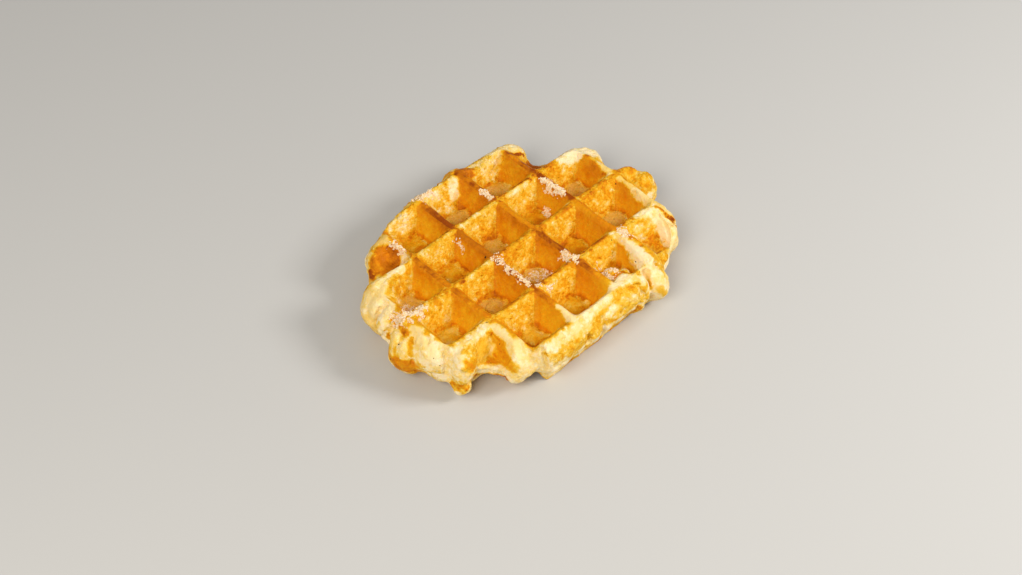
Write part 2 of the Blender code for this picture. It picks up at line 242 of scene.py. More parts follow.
# Places where the crust tore and shows its pale crumb: start, end, radius in mm and how far it tore
TORN_STROKES = [
    ((2.05, 2.06, 24.6), (2.03, 2.36, 24.8), 2.5, 0.58),
    ((2.03, 2.40, 24.8), (2.03, 2.84, 25.0), 1.9, 0.60),
    ((2.10, 2.96, 25.0), (2.24, 3.08, 22.5), 1.4, 0.9),
    ((2.95, 2.78, 24.5), (2.98, 2.95, 25.0), 2.6, 1.0),
    ((3.95, 1.36, 24.4), (4.00, 1.58, 25.0), 2.8, 1.0),
    ((3.98, 1.22, 24.5), (3.97, 1.34, 24.5), 1.5, 0.8),
    ((3.01, 0.68, 25.0), (2.99, 0.84, 25.0), 2.0, 0.9),
    ((1.05, 0.44, 22.0), (1.07, 0.62, 20.6), 1.9, 0.9),
    ((-0.14, 1.88, 23.6), (0.26, 2.00, 25.0), 3.3, 0.85),
    ((2.43, 2.52, 14.1), (2.62, 2.61, 14.4), 2.8, 0.55),
    ((0.20, 1.62, 15.0), (0.42, 1.56, 14.1), 2.4, 0.7),
    ((4.04, 3.05, 25.0), (4.04, 3.22, 25.0), 2.0, 0.9),
    ((3.22, 3.56, 17.4), (3.30, 3.36, 19.0), 2.6, 0.9),
    ((3.30, 3.36, 19.6), (3.50, 3.52, 20.6), 2.4, 0.9),
    ((2.08, -0.02, 24.0), (2.24, -0.02, 24.0), 2.5, 1.0),
    ((1.89, 1.17, 22.8), (1.86, 1.36, 20.8), 1.3, 0.7),
    ((3.72, 1.51, 15.0), (3.71, 1.62, 15.0), 1.5, 0.7),
]

# Creases where two puffs of dough met: start and end as (column, row, level), radius and depth in mm
CREASES = [
    ((-0.02, 1.46, 24.0), (-0.14, 1.43, 21.4), 1.3, 0.8),
    ((-0.14, 1.43, 21.4), (-0.28, 1.48, 10.0), 1.6, 2.0),
    ((-0.04, 1.80, 24.0), (-0.24, 1.88, 20.0), 1.3, 0.9),
    ((-0.24, 1.88, 20.0), (-0.34, 1.88, 12.0), 1.5, 1.4),
    ((-0.17, 2.08, 22.8), (-0.42, 2.28, 15.9), 1.3, 1.0),
    ((-0.11, 2.33, 22.8), (-0.34, 2.50, 15.0), 1.3, 1.0),
    ((-0.03, 2.55, 24.1), (-0.13, 2.72, 19.5), 1.2, 0.6),
    ((0.02, 2.94, 22.3), (-0.08, 3.06, 13.0), 1.5, 1.0),
    ((1.21, 4.02, 23.2), (1.18, 4.15, 14.0), 1.3, 1.4),
    ((2.08, 4.06, 24.2), (2.11, 4.23, 14.1), 1.3, 1.0),
    ((2.46, 4.21, 9.0), (2.50, 4.19, 19.7), 1.4, 1.0),
    ((3.02, 4.04, 24.0), (3.38, 4.10, 22.2), 1.1, 0.7),
    ((3.38, 4.10, 22.4), (3.50, 4.21, 14.0), 1.2, 0.9),
    ((3.74, 3.98, 21.0), (3.72, 4.16, 5.0), 1.5, 0.9),
    ((4.04, 3.56, 24.0), (4.02, 3.90, 21.4), 1.3, 1.4),
    ((4.02, 3.90, 21.4), (4.20, 3.98, 12.0), 1.3, 1.4),
    ((4.10, 3.60, 22.6), (4.66, 3.50, 15.7), 1.3, 1.2),
    ((4.66, 3.52, 15.7), (4.60, 3.82, 9.5), 1.3, 1.4),
    ((5.01, 3.25, 21.8), (5.16, 3.35, 15.6), 1.2, 1.4),
    ((4.94, 2.54, 23.4), (5.14, 2.62, 12.0), 1.5, 1.2),
    ((4.90, 3.26, 23.6), (4.91, 3.38, 21.8), 2.4, 0.9),
    ((4.91, 3.38, 21.8), (4.83, 3.55, 20.2), 2.6, 1.0),
    ((4.83, 3.55, 20.2), (4.72, 3.66, 17.2), 2.6, 1.0),
    ((4.90, 1.25, 24.2), (5.00, 1.00, 22.0), 1.1, 0.5),
    ((3.58, 0.24, 16.9), (3.89, 0.18, 22.6), 1.3, 0.8),
    ((2.96, -0.04, 24.4), (2.94, -0.24, 12.0), 1.4, 1.1),
    ((2.52, -0.06, 24.4), (2.50, -0.24, 12.0), 1.4, 1.1),
    ((1.52, 0.04, 23.6), (1.46, -0.16, 10.0), 1.5, 1.2),
    ((0.60, 0.38, 17.4), (0.88, 0.28, 21.8), 1.0, 0.6),
]

# Places where the dough swelled out: middle, radius and height in mm
SWELLINGS = [
    ((-0.20, 1.66, 18.0), 6.0, 0.8),
    ((-0.34, 2.14, 17.0), 6.0, 0.7),
    ((-0.14, 1.18, 16.0), 9.0, 1.2),
    ((4.42, 3.72, 17.0), 5.0, 0.9),
    ((3.82, 4.10, 16.0), 6.0, 0.8),
    ((2.30, 4.20, 16.0), 5.0, 0.6),
    ((5.30, 2.30, 19.0), 6.0, 0.6),
]

# Places where the crust stayed smooth and even: start, end and radius in mm
SMOOTH_STROKES = [
    ((0.92, 0.46, 19.0), (0.64, 0.54, 16.0), 6.0),
    ((0.00, 1.16, 23.0), (-0.22, 1.24, 12.0), 6.5),
    ((-0.06, 1.62, 23.0), (-0.28, 1.70, 17.0), 4.0),
    ((-0.50, 2.06, 13.0), (-0.42, 2.52, 12.5), 4.4),
    ((-0.18, 2.30, 22.0), (-0.34, 2.45, 17.0), 2.4),
    ((0.62, 3.26, 19.0), (0.74, 3.84, 16.6), 5.0),
    ((0.95, 3.30, 25.0), (0.92, 3.95, 16.0), 4.0),
    ((4.90, 3.24, 23.0), (4.76, 3.67, 14.9), 5.4),
    ((3.80, 4.02, 21.0), (3.86, 4.20, 12.0), 5.4),
    ((3.92, 3.40, 24.6), (3.87, 3.90, 24.4), 3.2),
]

# Burnt specks: column, row, level, radius in mm
BURNT_SPECKS = [
    (1.93, 1.86, 24.0, 0.5),
    (1.97, 2.14, 24.9, 0.5),
    (3.80, 3.09, 23.8, 0.3),
    (4.89, 2.13, 23.0, 0.35),
    (0.80, 3.39, 21.0, 0.25),
    (-0.16, 2.83, 19.8, 0.25),
    (-0.14, 2.95, 17.5, 0.25),
    (-0.36, 2.18, 19.5, 0.3),
    (-0.51, 2.13, 12.2, 0.5),
    (0.57, 3.43, 14.1, 0.25),
    (3.84, 3.68, 21.0, 0.35),
]

# Ragged bits fused to the edge: column, row, level, number, spread in mm, largest size in mm
RAGGED_EDGES = [
    (1.95, -0.18, 21.0, 12, 5.0, 2.2),
    (2.20, -0.16, 21.0, 10, 4.0, 1.8),
    (2.55, -0.16, 23.0, 10, 4.0, 1.4),
    (3.10, -0.16, 23.0, 8, 4.0, 1.6),
    (0.60, 0.85, 12.0, 5, 3.0, 1.4),
    (1.20, 4.00, 22.0, 5, 3.0, 1.6),
    (2.30, 4.25, 8.0, 6, 4.0, 1.6),
    (4.30, 0.60, 15.0, 8, 5.0, 1.4),
]

# Lumps of spilt dough fused to a pocket's floor: column, row, level and radius in mm
DOUGH_LUMPS = [
    (3.36, 3.50, 15.6, 4.6),
]

FLOOR_COLOUR = (0.56, 0.555, 0.545, 1.0)
FLOOR_ROUGHNESS = 0.7
FLOOR_WIDTH = 6.0
SURROUND_COLOUR = (1.0, 0.975, 0.94, 1.0)
SURROUND_STRENGTH = 0.36

# Lights: name, azimuth and elevation in degrees, distance and width in metres, power in watts, colour
SOFT_LIGHTS = [
    ("key", -140.0, 36.0, 0.9, 0.26, 5.2, (1.0, 0.98, 0.94)),
    ("fill", 110.0, 44.0, 1.0, 0.5, 6.1, (1.0, 0.95, 0.86)),
]

# Every random cloud: how far a seed of 1 moves it, and its fall in strength and size from octave to octave
SEED_SHIFT = (7.31, 3.17, 5.73)
OCTAVE_FALL = 0.7
OCTAVE_STEP = 2.0

# How near the iron dough is fully pressed, and how far from it dough is free, in millimetres
FULLY_PRESSED = 0.5
FULLY_FREE = 1.5

# How far past the edge of a pocket's floor its wall and its floor still count, and the distance that
# stands for not at all, in millimetres
FLOOR_MARGIN = 0.8
FAR_AWAY = 99.0

# Ranges over which a share goes from 0 to 1 or back. First those in millimetres from a floor or a plate
NEAR_FLOOR = (1.2, 2.4)
NEAR_PLATE = (1.0, 8.0)
HIGH_ON_WALL = (0.5, 6.0)
LOW_ON_WALL = (6.0, 10.5)
RIDGE_TOP = (1.6, 0.7)

# Ranges in half widths of a pocket's floor
OFF_FLOOR = (1.0, 1.1)
PALE_FLOOR_EDGE = (0.7, 0.95)
CORNER_START = (0.9, 1.15)
CORNER_END = (1.2, 1.7)

# Ranges of the other shares
INNER_EDGE = (0.55, 1.15)
NORTH_EDGE = (0.0, 0.04)
BLOTCH_EDGE = (0.05, 0.45)
PUFF_CREASE = (0.0, 0.10)
CREAM_TO_STRAW = (0.1, 0.3)
TOASTED_TO_BROWN = (0.6, 0.85)
BAKED_FLOOR = (0.15, 0.4)
RIDGE_EDGE = (0.36, 0.54)
WALL_EDGE = (0.42, 0.58)

# Where a stroke fades, as shares of its radius
STROKE_EDGE = (0.75, 1.1)

# How far the edges of strokes and pads wander, in radii, and the size of that wander in millimetres
PATCH_RAGGEDNESS = 0.33
PATCH_RAGGED_SIZE = 2.6
TORN_RAGGEDNESS = 1.1
TORN_RAGGED_SIZE = 2.2
CREASE_RAGGEDNESS = 0.3
CREASE_RAGGED_SIZE = 3.0
PAD_RAGGEDNESS = 0.35
PAD_RAGGED_SIZE = 5.0

# The pad on a pocket's floor and the groove round it: the power that rounds its square outline, its height
# and the groove's depth in millimetres, and the groove's place and width in half widths of the floor
PAD_SQUARENESS = 4
PAD_HEIGHT = 0.55
GROOVE_DEPTH = 0.4
GROOVE_PLACE = 1.06
GROOVE_WIDTH = 0.14
# Where the painted shade of the groove lies, and its width
SHADE_GROOVE_PLACE = 1.05
SHADE_GROOVE_WIDTH = 0.10

# The skin's relief in millimetres: how broad each kind is, its height, and how much is added on free dough
SWELL_SIZE = 7.0
SWELL_HEIGHT = 0.14
FREE_SWELL_HEIGHT = 0.40
PUFF_SIZE = 6.5
PUFF_HEIGHT = 1.4
PUFF_SINK = 0.2
LUMP_SIZE = 2.6
LUMP_HEIGHT = 0.16
FREE_LUMP_HEIGHT = 0.16
CRUMB_SIZE = 1.5
CRUMB_HEIGHT = 0.7
CRUMB_RISE = 0.2
SMOOTHED_AWAY = 0.7
HIGHEST_ABOVE_PLATE = 0.4

# How far the iron's lines waver, in millimetres
SWAY_SIZE = 15.0
SWAY_WIDTH = 0.45

# The middle of the waffle, where the iron was hottest, and its reach, in cells
INNER_COLUMN = 2.9
INNER_ROW = 1.7
INNER_COLUMNS = 2.5
INNER_ROWS = 2.0

# How brown the crust bakes, from 0 to 1, and what each place adds
FREE_BROWN = 0.07
NEAR_PLATE_BROWN = 0.12
BLOTCH_BROWN = 0.36
BLOTCH_SIZE = 7.0
PRESSED_BROWN = 0.43
INNER_BROWN = 0.06
NORTH_FACING_BROWN = 0.12
# Painted shade: darker in the groove and in the corner round each pocket's floor
FLOOR_GROOVE_SHADE = 0.14
FLOOR_CORNER_SHADE = 0.10
HIGH_WALL_BROWN = 0.12
# How much darker the north and south walls are coloured low down, towards the floor
LOW_WALL_DARKER = 0.06
# Painted shade: how much darker the creases are coloured
CREASE_SHADE = 0.05
# The walls across the rows are a deeper amber, partly baked browner and partly painted shade
CROSS_WALL_BROWN_AND_SHADE = 0.18
CREST_BROWN = 0.16
CREST_SWING = 0.30
CREST_SIZE = 4.5

# How even the crust's colour is, from 0, flecked, to 1
# Those walls also keep fewer flecks, partly as painted shade
CROSS_WALL_CALM = 0.75
PALE_FLOOR_CALM = 0.3
BROWNED_FLOOR_CALM = 0.6
BROWN_CALM = 0.7
CREAM_CALM = 0.5
SMOOTH_CALM = 0.65

# Reach of the stored numbers in millimetres: from one kind of wall to the other, and up to a ridge
SIDE_EDGE = 0.8
SIDE_REACH = 4.0
RIDGE_REACH = 2.4

# The crust's patterns, in millimetres
FINE_SIZE = 1.7
MIDDLE_SIZE = 3.6
BROAD_SIZE = 12.0
PIT_SPACING = 3.6
PIT_RADIUS = 0.17
PIT_STEEPNESS = 9.0
GRAIN_SIZE = 1.0
GRAIN_DEPTH = 0.7
FINE_BUMP = 1.6
PIT_BUMP = 0.5
LEAST_GRAIN = 0.5
TORN_PATTERN_SIZE = 1.0
PLAIN_PATTERN_SIZE = 0.7

# The crust's roughness, what the iron took off it, and what the flecks add; then how it reflects light and
# lets light in, by colour and to a depth in millimetres
CRUST_ROUGHNESS = 0.62
PRESSED_SHINE = 0.16
FLECK_ROUGHNESS = 0.3
CRUST_SPECULAR = 0.10
CRUST_SUBSURFACE = 0.12
SUBSURFACE_SHARES = (1.0, 0.45, 0.15)
SUBSURFACE_DEPTH = 1.5

# Of the specks and the loose crumbs
BURNT_ROUGHNESS = 0.9
LOOSE_CRUMB_ROUGHNESS = 0.8
PLAIN_SPECULAR = 0.15

# How much the patterns brown the crust: their swing, and the most that they add
FLECK_SWING = 1.25
FLECK_LIMIT = 0.07
CLOUD_SWING = 1.5
CLOUD_LIMIT = 0.11
DRIFT_SWING = 0.4
PIT_BROWN = 0.13

# How much of a floor's own colour shows, and how sharply the torn crumb begins
FLOOR_SHARE = 0.6
TORN_SWING = 1.6
TORN_START = 0.45
TORN_SHARPNESS = 6.0

# Colours by how brown the crust baked, and by the noise on floors and in crumb
CRUST_COLOURS = [
    (0.00, (0.98, 0.79, 0.47)),
    (0.10, (0.94, 0.70, 0.30)),
    (0.20, (0.92, 0.62, 0.17)),
    (0.36, (0.86, 0.51, 0.045)),
    (0.54, (0.81, 0.385, 0.006)),
    (0.74, (0.70, 0.22, 0.001)),
    (1.00, (0.32, 0.06, 0.001)),
]
FLOOR_COLOURS = [
    (0.35, (0.68, 0.30, 0.015)),
    (0.62, (0.85, 0.54, 0.15)),
]
CRUMB_COLOURS = [
    (0.36, (0.78, 0.40, 0.10)),
    (0.50, (0.93, 0.67, 0.38)),
    (0.64, (1.00, 0.85, 0.65)),
]
LOOSE_CRUMB_COLOUR = (1.0, 0.88, 0.71)
BURNT_COLOUR = (0.05, 0.018, 0.006)

# How much red, green and blue the darker tone of a plain material keeps
DARKER = (0.86, 0.70, 0.50)

# A burnt speck's half widths and half height, as shares of its radius
SPECK_WIDTHS = (0.7, 1.1)
SPECK_FLATNESS = 0.45

# Half sizes of a ragged bit, and its own size, as shares of the largest
RAGGED_HALF_SIZES = (0.35, 0.5)
RAGGED_SIZES = (0.5, 1.0)

# Loose crumbs: how densely they lie where the crust is fully torn, and their sizes in millimetres
CRUMBS_ON_A_SQUARE_METRE = 1.6e6
SMALLEST_CRUMB = 0.12
LARGEST_CRUMB = 0.42
CRUMPLE_SIZE = 0.5
CRUMPLE_WIDTH = 0.6


def place(column, row, level):
    """Return a place in metres from cells and a level in millimetres."""
    return Vector(((column - MIDDLE_COLUMN) * PITCH, (MIDDLE_ROW - row) * PITCH, level)) * MM


def cells_of(points):
    """Return the columns, rows and levels in millimetres of an array of points."""
    column = points[:, 0] / (PITCH * MM) + MIDDLE_COLUMN
    row = MIDDLE_ROW - points[:, 1] / (PITCH * MM)
    return column, row, points[:, 2] / MM


def step(value, low, high):
    """Rise smoothly from 0 at low to 1 at high."""
    share = np.clip((value - low) / (high - low), 0.0, 1.0)
    return share * share * (3.0 - 2.0 * share)


def fall(value, low, high):
    """Fall smoothly from 1 at low to 0 at high."""
    return 1.0 - step(value, low, high)


def ring(value, middle, width):
    """Return 1 where a value is at the middle, fading away over the width on both sides."""
    return np.exp(-(((value - middle) / width) ** 2))


def cloudy(points, size_mm, seed, octaves):
    """Return random values of about -1 to 1 whose clouds have the given size."""
    shift = Vector([seed * part for part in SEED_SHIFT])
    scale = 1.0 / (size_mm * MM)
    places = [Vector(point) * scale + shift for point in points]
    return np.array([noise.fractal(found, OCTAVE_FALL, OCTAVE_STEP, octaves) for found in places])


def puff_clouds(points):
    """Return the clouds whose zero lines are the creases between small puffs."""
    return abs(cloudy(points, PUFF_SIZE, seed=2, octaves=1))


def cover(points, start, end, radius, ragged):
    """Return how far each point lies within a soft stroke; ragged moves its edge in and out, in radii."""
    first = np.array(place(*start))
    along = np.array(place(*end)) - first
    share = np.clip((points - first) @ along / (along @ along), 0.0, 1.0)
    away = np.linalg.norm(points - first - share[:, None] * along, axis=1) / (radius * MM)
    return fall(away + ragged, *STROKE_EDGE)


def strongest(points, strokes, ragged):
    """Return the greatest strength that any of the strokes has at each point."""
    most = np.zeros(len(points))
    for start, end, radius, strength in strokes:
        most = np.maximum(most, strength * cover(points, start, end, radius, ragged))
    return most


def torn_share(points):
    """Return how far each point lies in a torn place."""
    ragged = TORN_RAGGEDNESS * cloudy(points, TORN_RAGGED_SIZE, seed=41, octaves=4)
    return strongest(points, TORN_STROKES, ragged)


def crease_depth(points):
    """Return the depth of the creases at each point, in millimetres."""
    ragged = CREASE_RAGGEDNESS * cloudy(points, CREASE_RAGGED_SIZE, seed=43, octaves=2)
    return strongest(points, CREASES, ragged)


def swelling_height(points):
    """Return how far the swellings stand out at each point, in millimetres."""
    out = np.zeros(len(points))
    for middle, radius, height in SWELLINGS:
        away = np.linalg.norm(points - np.array(place(*middle)), axis=1) / (radius * MM)
        out = np.maximum(out, height * np.clip(1.0 - away**2, 0.0, 1.0))
    return out


def smooth_share(points):
    """Return how far each point lies in a smooth place."""
    return strongest(points, [(*stroke, 1.0) for stroke in SMOOTH_STROKES], ragged=0.0)


def from_pocket_middle(points):
    """Return how far each point lies east and south of its pocket's middle, in cells."""
    column, row, _ = cells_of(points)
    return column % 1.0 - 0.5, row % 1.0 - 0.5


def pressed_by_iron(points):
    """Return how closely each point lies on the iron: on a pocket's wall or floor, or on a plate."""
    east, south = from_pocket_middle(points)
    level = cells_of(points)[2]
    from_middle = np.maximum(abs(east), abs(south)) * PITCH
    closest = np.minimum(abs(level - THICKNESS), abs(level))
    for depth, height in (
        (UPPER_POCKET_DEPTH, level - UPPER_FLOOR),
        (LOWER_POCKET_DEPTH, LOWER_FLOOR - level),
    ):
        slope = (POCKET_MOUTH - POCKET_FLOOR) / 2 / depth
        wall = abs(from_middle - (POCKET_FLOOR / 2 + slope * height)) / math.hypot(1.0, slope)
        wall = np.where(height > -FLOOR_MARGIN, wall, FAR_AWAY)
        floor = np.where(from_middle < POCKET_FLOOR / 2 + FLOOR_MARGIN, abs(height), FAR_AWAY)
        closest = np.minimum(closest, np.minimum(wall, floor))
    return fall(closest, FULLY_PRESSED, FULLY_FREE)


def floor_pads(points):
    """Return how far points lie from a pocket's middle, in half floors, and how near to a floor."""
    east, south = from_pocket_middle(points)
    level = cells_of(points)[2]
    across = (abs(east) ** PAD_SQUARENESS + abs(south) ** PAD_SQUARENESS) ** (1 / PAD_SQUARENESS) * PITCH
    across *= 1.0 + PAD_RAGGEDNESS * cloudy(points, PAD_RAGGED_SIZE, seed=44, octaves=2)
    from_floor = np.minimum(abs(level - UPPER_FLOOR), abs(level - LOWER_FLOOR))
    return across / (POCKET_FLOOR / 2), fall(from_floor, *NEAR_FLOOR)


def read_vectors(items, name):
    """Return as an array a named vector of each of a mesh's items."""
    vectors = np.empty(len(items) * 3, np.float32)
    items.foreach_get(name, vectors)
    return vectors.reshape(-1, 3).astype(float)


def write_points(mesh, points):
    """Move a mesh's points."""
    mesh.vertices.foreach_set("co", points.astype(np.float32).ravel())
    mesh.update()


def write_attribute(mesh, name, values):
    """Store one number for each point of a mesh."""
    layer = mesh.attributes.new(name, "FLOAT", "POINT")
    layer.data.foreach_set("value", np.clip(values, 0.0, 1.0).astype(np.float32))


def copy_of(source, name):
    """Copy an object's mesh into a new object, without its materials."""
    made = bpy.data.objects.new(name, source.data.copy())
    bpy.context.scene.collection.objects.link(made)
    made.data.materials.clear()
    return made


def apply_modifiers(target):
    """Replace an object's mesh with its evaluated one, without modifiers."""
    bpy.context.view_layer.update()
    graph = bpy.context.evaluated_depsgraph_get()
    mesh = bpy.data.meshes.new_from_object(target.evaluated_get(graph))
    target.modifiers.clear()
    target.data = mesh


def new_object(name, bm, material):
    """Turn a bmesh into a shaded object of the scene."""
    mesh = bpy.data.meshes.new(name)
    bm.to_mesh(mesh)
    bm.free()
    mesh.shade_smooth()
    mesh.materials.append(material)
    made = bpy.data.objects.new(name, mesh)
    bpy.context.scene.collection.objects.link(made)
    return made


def add_bit(bm, middle, turn, half_sizes):
    """Add a rounded bit with the given half sizes, turned about its middle."""
    shape = Matrix.Translation(middle) @ turn @ Matrix.Diagonal((*half_sizes, 1.0))
    bmesh.ops.create_icosphere(bm, subdivisions=2, radius=1.0, matrix=shape)


def add_ragged_bits(bm):
    """Add small uneven bits on the surface; the remesh then fuses them with the skin."""
    draw = np.random.default_rng(seed=11)
    surface = BVHTree.FromBMesh(bm)
    for column, row, level, number, spread, largest in RAGGED_EDGES:
        for _ in range(number):
            aim = place(column, row, level) + Vector(draw.normal(0.0, spread / 2, 3)) * MM
            found, *_ = surface.find_nearest(aim)
            half_sizes = draw.uniform(*RAGGED_HALF_SIZES, 3) * largest * draw.uniform(*RAGGED_SIZES)
            turn = Euler(draw.uniform(0.0, math.tau, 3)).to_matrix().to_4x4()
            add_bit(bm, found, turn, half_sizes * MM)


def add_dough_lumps(bm):
    """Add the lumps of spilt dough."""
    for column, row, level, radius in DOUGH_LUMPS:
        middle = Matrix.Translation(place(column, row, level))
        bmesh.ops.create_icosphere(bm, subdivisions=3, radius=radius * MM, matrix=middle)


def relief(points):
    """Return how far the skin stands out at each point, in metres."""
    pressed = pressed_by_iron(points)
    free = 1.0 - pressed
    swells = cloudy(points, SWELL_SIZE, seed=1, octaves=2) * (SWELL_HEIGHT + FREE_SWELL_HEIGHT * free)
    puffs = (puff_clouds(points) - PUFF_SINK) * PUFF_HEIGHT * free
    lumps = cloudy(points, LUMP_SIZE, seed=3, octaves=2) * (LUMP_HEIGHT + FREE_LUMP_HEIGHT * free)
    rough = (puffs + lumps) * (1.0 - SMOOTHED_AWAY * smooth_share(points))
    crumb = (CRUMB_RISE + cloudy(points, CRUMB_SIZE, seed=4, octaves=2)) * CRUMB_HEIGHT
    across, near_floor = floor_pads(points)
    pad = PAD_HEIGHT * np.clip(1.0 - across**2, 0.0, 1.0)
    groove = GROOVE_DEPTH * ring(across, GROOVE_PLACE, GROOVE_WIDTH)
    pads = (pad - groove) * near_floor * pressed
    grown = swelling_height(points) * free - crease_depth(points)
    return (swells + rough + crumb * torn_share(points) + pads + grown) * MM


def sway(points):
    """Return how far the iron's straight lines waver at each point, in metres."""
    east = cloudy(points, SWAY_SIZE, seed=21, octaves=2)
    north = cloudy(points, SWAY_SIZE, seed=22, octaves=2)
    return np.column_stack([east, north, np.zeros(len(points))]) * SWAY_WIDTH * MM


def build_skin(node):
    """Make the waffle's skin from its solid: fuse ragged bits, soften it and give it relief."""
    skin = copy_of(node, "waffle_skin")
    bm = bmesh.new()
    bm.from_mesh(skin.data)
    add_ragged_bits(bm)
    add_dough_lumps(bm)
    bm.to_mesh(skin.data)
    bm.free()
    remesh = skin.modifiers.new("one skin", "REMESH")
    remesh.mode = "VOXEL"
    remesh.voxel_size = SKIN_VOXEL * MM
    smooth = skin.modifiers.new("soft edges", "SMOOTH")
    smooth.factor = 0.5
    smooth.iterations = SKIN_SMOOTHING
    apply_modifiers(skin)
    points = read_vectors(skin.data.vertices, "co")
    normals = read_vectors(skin.data.vertex_normals, "vector")
    moved = points + normals * relief(points)[:, None] + sway(points)
    moved[:, 2] = np.clip(moved[:, 2], 0.0, (THICKNESS + HIGHEST_ABOVE_PLATE) * MM)
    write_points(skin.data, moved)
    decimate = skin.modifiers.new("fewer faces", "DECIMATE")
    decimate.ratio = SKIN_TRIANGLES / (2 * len(skin.data.polygons))
    apply_modifiers(skin)
    skin.data.shade_smooth()
    store_baking(skin.data)
    skin.data.materials.append(crust_material())
    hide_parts("waffle")
    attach(skin, "root")
    return skin


def iron_marks(points):
    """Gather by name how the iron touched each point."""
    marks = SimpleNamespace()
    column, row, level = cells_of(points)
    marks.east, marks.south = from_pocket_middle(points)
    marks.from_plate = np.minimum(level, THICKNESS - level)
    marks.pressed = pressed_by_iron(points)
    marks.across, near_floor = floor_pads(points)
    marks.at_floor = near_floor * marks.pressed
    marks.off_floor = marks.pressed * (1.0 - near_floor * fall(marks.across, *OFF_FLOOR))
    marks.side = (abs(marks.east) - abs(marks.south)) * PITCH
    marks.cross_wall = step(marks.side, -SIDE_EDGE, SIDE_EDGE) * marks.off_floor
    away = np.hypot((column - INNER_COLUMN) / INNER_COLUMNS, (row - INNER_ROW) / INNER_ROWS)
    marks.inner = fall(away, *INNER_EDGE)
    return marks


def baked_by_place(points, marks):
    """Return how brown each point baked by its place, before the strokes, with painted shade round each
    floor.
    """
    near_plate = fall(marks.from_plate, *NEAR_PLATE)
    blotches = step(cloudy(points, BLOTCH_SIZE, seed=31, octaves=4), *BLOTCH_EDGE)
    free = FREE_BROWN + NEAR_PLATE_BROWN * near_plate + BLOTCH_BROWN * blotches
    north_facing = step(marks.south - abs(marks.east), *NORTH_EDGE)
    pressed = PRESSED_BROWN + INNER_BROWN * marks.inner + NORTH_FACING_BROWN * north_facing
    # Painted shade in the groove and in the corner round the floor
    groove = FLOOR_GROOVE_SHADE * ring(marks.across, SHADE_GROOVE_PLACE, SHADE_GROOVE_WIDTH)
    corner = FLOOR_CORNER_SHADE * step(marks.across, *CORNER_START) * fall(marks.across, *CORNER_END)
    high_wall = HIGH_WALL_BROWN * marks.inner * marks.cross_wall * fall(marks.from_plate, *HIGH_ON_WALL)
    # The north and south walls are coloured darker towards the floor
    other_wall = fall(marks.side, -SIDE_EDGE, SIDE_EDGE)
    low_wall = LOW_WALL_DARKER * other_wall * step(marks.from_plate, *LOW_ON_WALL)
    baked = free + (pressed - free + low_wall) * marks.pressed
    return baked + (groove + corner) * marks.at_floor + high_wall


def store_baking(mesh):
    """Store on the skin how brown each point baked, with painted shade in its creases and round its
    floors, and where its crumb is torn open.
    """
    points = read_vectors(mesh.vertices, "co")
    column, row, level = cells_of(points)
    marks = iron_marks(points)
    baked = baked_by_place(points, marks)
    pale_floor = fall(marks.across, *PALE_FLOOR_EDGE) * marks.at_floor
    browned_floor = np.zeros(len(points))
    for middle_column, middle_row, browner in BROWNED_FLOORS:
        in_pocket = np.maximum(abs(column - middle_column), abs(row - middle_row)) < 0.5
        browned_here = pale_floor * in_pocket * (level > THICKNESS / 2)
        baked += browner * browned_here
        browned_floor += browned_here
    pale_floor -= browned_floor
    ironed = marks.off_floor
    ragged = PATCH_RAGGEDNESS * cloudy(points, PATCH_RAGGED_SIZE, seed=42, octaves=3)
    for start, end, radius, brownness in PATCHES:
        covered = cover(points, start, end, radius, ragged)
        baked += (brownness - baked) * covered
        ironed = ironed * (1.0 - covered)
        pale_floor *= 1.0 - covered
    # Fewer flecks on the walls across the rows stand partly for their shade
    calm = CROSS_WALL_CALM * marks.cross_wall
    calm += PALE_FLOOR_CALM * pale_floor + BROWNED_FLOOR_CALM * browned_floor
    calm += BROWN_CALM * step(baked, *TOASTED_TO_BROWN) + CREAM_CALM * fall(baked, *CREAM_TO_STRAW)
    calm = np.maximum(calm, SMOOTH_CALM * smooth_share(points))
    # Painted shade: the creases between puffs and the deep creases are coloured darker
    puff_creases = fall(puff_clouds(points), *PUFF_CREASE) * (1.0 - marks.pressed)
    creases = puff_creases + crease_depth(points) ** 2
    from_middle = np.maximum(abs(marks.east), abs(marks.south)) * PITCH
    crests = CREST_BROWN + CREST_SWING * cloudy(points, CREST_SIZE, seed=32, octaves=3)
    # The stored baked share also holds painted shade, in the creases and round the floors
    write_attribute(mesh, "baked", baked + CREASE_SHADE * creases)
    write_attribute(mesh, "ironed", ironed)
    write_attribute(mesh, "side", 0.5 + marks.side / SIDE_REACH)
    write_attribute(mesh, "ridge", (from_middle - (PITCH / 2 - RIDGE_REACH)) / RIDGE_REACH)
    write_attribute(mesh, "crest", marks.inner * ironed * crests)
    write_attribute(mesh, "flecked", 1.0 - calm)
    write_attribute(mesh, "floor", pale_floor * step(baked, *BAKED_FLOOR))
    write_attribute(mesh, "torn", torn_share(points))
    write_attribute(mesh, "pressed", marks.pressed)


def new_material(name):
    """Make a node material and return it with its tree and its shader."""
    material = bpy.data.materials.new(name)
    material.use_nodes = True
    tree = material.node_tree
    return material, tree, tree.nodes["Principled BSDF"]


def noise_node(tree, coordinates, size_mm, detail, roughness=0.55):
    """Add a noise texture whose clouds have the given size."""
    made = tree.nodes.new("ShaderNodeTexNoise")
    made.inputs["Scale"].default_value = 1.0 / (size_mm * MM)
    made.inputs["Detail"].default_value = detail
    made.inputs["Roughness"].default_value = roughness
    tree.links.new(coordinates, made.inputs["Vector"])
    return made.outputs["Fac"]


def attribute_node(tree, name):
    """Read one of the skin's stored numbers."""
    made = tree.nodes.new("ShaderNodeAttribute")
    made.attribute_name = name
    return made.outputs["Fac"]


